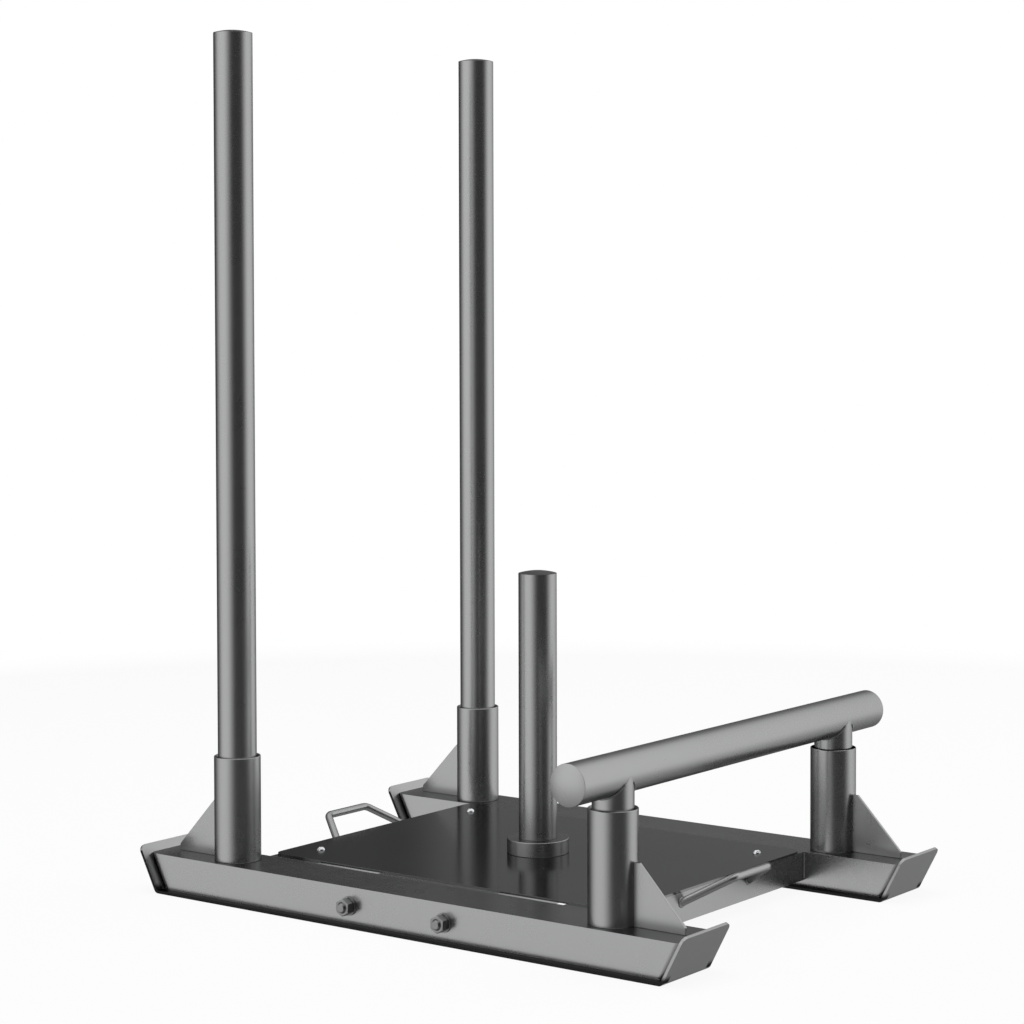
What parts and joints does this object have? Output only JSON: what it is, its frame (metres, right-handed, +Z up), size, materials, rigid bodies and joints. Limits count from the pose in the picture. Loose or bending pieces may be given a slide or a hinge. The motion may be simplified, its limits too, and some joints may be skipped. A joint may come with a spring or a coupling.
{
  "type": "weight sled",
  "caption": "Push sled with two ski-shaped runners, a deck with a plate post, tall lift-out push poles and a low lift-out handle.",
  "frame": {"origin": "on the floor under the weight post, in the middle of the sled", "axes": "+X forward along the runners towards the low handle, +Y left, +Z up"},
  "size_m": [0.86, 0.686, 1.1175],
  "materials": {
    "frame_paint": "satin",
    "ski_paint": "satin",
    "deck_paint": "gloss",
    "bright_zinc": "polished",
    "dark_fastener": "satin",
    "cap_plastic": "matte"
  },
  "bodies": {
    "frame": {"right_runner_beam": "frame_paint", "left_runner_beam": "frame_paint", "right_ski_plate": "ski_paint", "left_ski_plate": "ski_paint", "right_rear_socket": "frame_paint", "left_rear_socket": "frame_paint", "right_front_socket": "frame_paint", "left_front_socket": "frame_paint", "right_rear_gusset": "frame_paint", "left_rear_gusset": "frame_paint", "right_front_gusset": "frame_paint", "left_front_gusset": "frame_paint", "front_crossmember": "frame_paint", "rear_crossmember": "frame_paint", "post_channel": "frame_paint", "right_end_plate": "frame_paint", "left_end_plate": "frame_paint", "deck_plate": "deck_paint", "deck_screws": "bright_zinc", "deck_rivet_nuts": "bright_zinc", "side_bolts": "dark_fastener", "side_washers": "dark_fastener", "side_nuts": "dark_fastener", "post_base": "frame_paint", "weight_post": "frame_paint", "post_cap": "cap_plastic", "post_bolt": "dark_fastener", "post_washer": "dark_fastener", "front_tow_loop": "frame_paint", "rear_tow_loop": "frame_paint"},
    "right_pole": {"right_push_pole": "frame_paint", "right_pole_cap": "cap_plastic", "right_pole_foot": "cap_plastic"},
    "left_pole": {"left_push_pole": "frame_paint", "left_pole_cap": "cap_plastic", "left_pole_foot": "cap_plastic"},
    "low_handle": {"handle_bar": "frame_paint", "right_handle_cap": "frame_paint", "left_handle_cap": "frame_paint", "right_handle_stub": "frame_paint", "left_handle_stub": "frame_paint", "right_stub_foot": "cap_plastic", "left_stub_foot": "cap_plastic"}
  },
  "joints": [
    {"name": "right_pole_lift", "type": "slide", "parent": "frame", "child": "right_pole", "axis": [0, 0, 1], "range_m": [0, 0.15]},
    {"name": "left_pole_lift", "type": "slide", "parent": "frame", "child": "left_pole", "axis": [0, 0, 1], "range_m": [0, 0.15]},
    {"name": "low_handle_lift", "type": "slide", "parent": "frame", "child": "low_handle", "axis": [0, 0, 1], "range_m": [0, 0.15]}
  ]
}
